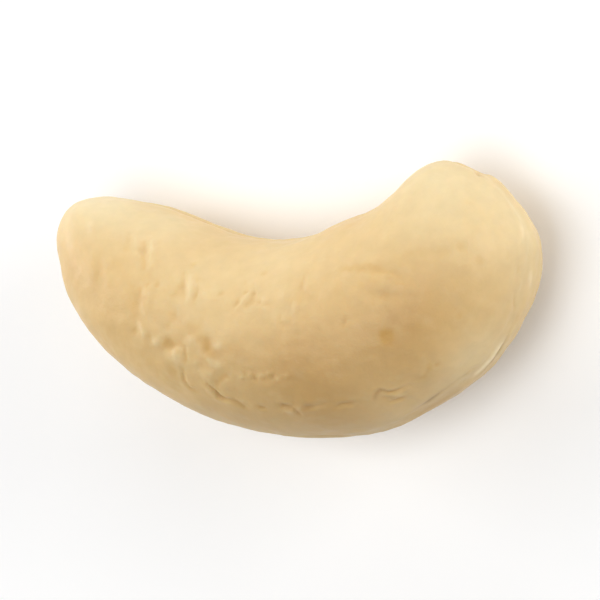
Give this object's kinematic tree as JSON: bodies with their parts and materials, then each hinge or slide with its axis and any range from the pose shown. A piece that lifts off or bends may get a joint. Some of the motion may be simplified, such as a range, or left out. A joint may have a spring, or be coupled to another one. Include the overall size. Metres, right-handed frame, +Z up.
{
  "type": "cashew kernel",
  "caption": "Shelled whole cashew kernel: a smooth cream crescent with a blunt head, a smaller end and a fine seam round its edge, lying on its side.",
  "frame": {"origin": "on the surface the kernel lies on, under the middle of its bounding box", "axes": "+X along the kernel towards its blunt head, +Y towards its hollow side, +Z up"},
  "size_m": [0.026, 0.0136, 0.0106],
  "materials": {
    "kernel": "waxy matte, cream to golden"
  },
  "bodies": {
    "root": {"cashew_kernel": "kernel"}
  },
  "joints": []
}
